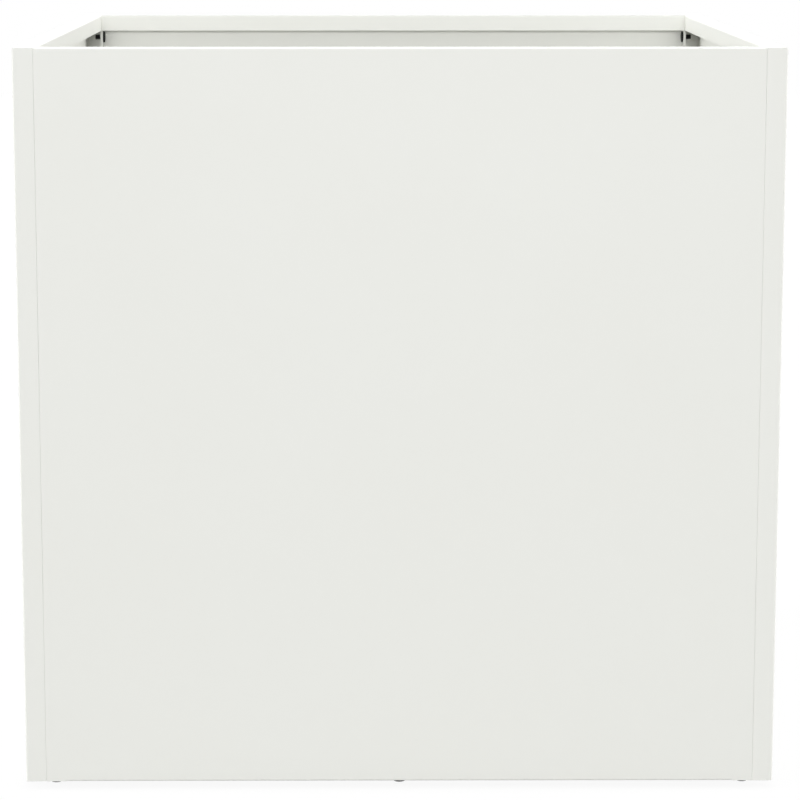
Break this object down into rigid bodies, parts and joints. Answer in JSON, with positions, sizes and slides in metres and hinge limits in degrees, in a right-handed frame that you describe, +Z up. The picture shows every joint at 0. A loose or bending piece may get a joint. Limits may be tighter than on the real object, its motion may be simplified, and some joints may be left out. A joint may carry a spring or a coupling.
{
  "type": "cube planter",
  "caption": "Open-topped square planter of folded sheet-steel panels screwed together at the corners, with a turned-in rim, a drained base tray and low push-in feet.",
  "frame": {"origin": "on the floor, under the middle of the planter", "axes": "+Z up, front panel facing -Y, +X to the right as seen from the front"},
  "size_m": [0.47, 0.47, 0.465],
  "materials": {
    "coated_steel": "warm white powder coat, satin with a very fine orange peel, on cold-rolled sheet steel",
    "black_screw": "blackened steel, satin",
    "black_foot": "moulded black plastic, matte"
  },
  "bodies": {
    "root": {"left_side_panel": "coated_steel", "right_side_panel": "coated_steel", "front_panel": "coated_steel", "back_panel": "coated_steel", "base_tray": "coated_steel", "screw_front_left_bottom": "black_screw", "screw_front_left_middle": "black_screw", "screw_front_left_top": "black_screw", "screw_front_right_bottom": "black_screw", "screw_front_right_middle": "black_screw", "screw_front_right_top": "black_screw", "screw_back_left_bottom": "black_screw", "screw_back_left_middle": "black_screw", "screw_back_left_top": "black_screw", "screw_back_right_bottom": "black_screw", "screw_back_right_middle": "black_screw", "screw_back_right_top": "black_screw", "foot_front_left": "black_foot", "foot_front_centre": "black_foot", "foot_front_right": "black_foot", "foot_left_centre": "black_foot", "foot_right_centre": "black_foot", "foot_back_left": "black_foot", "foot_back_centre": "black_foot", "foot_back_right": "black_foot"}
  },
  "joints": []
}
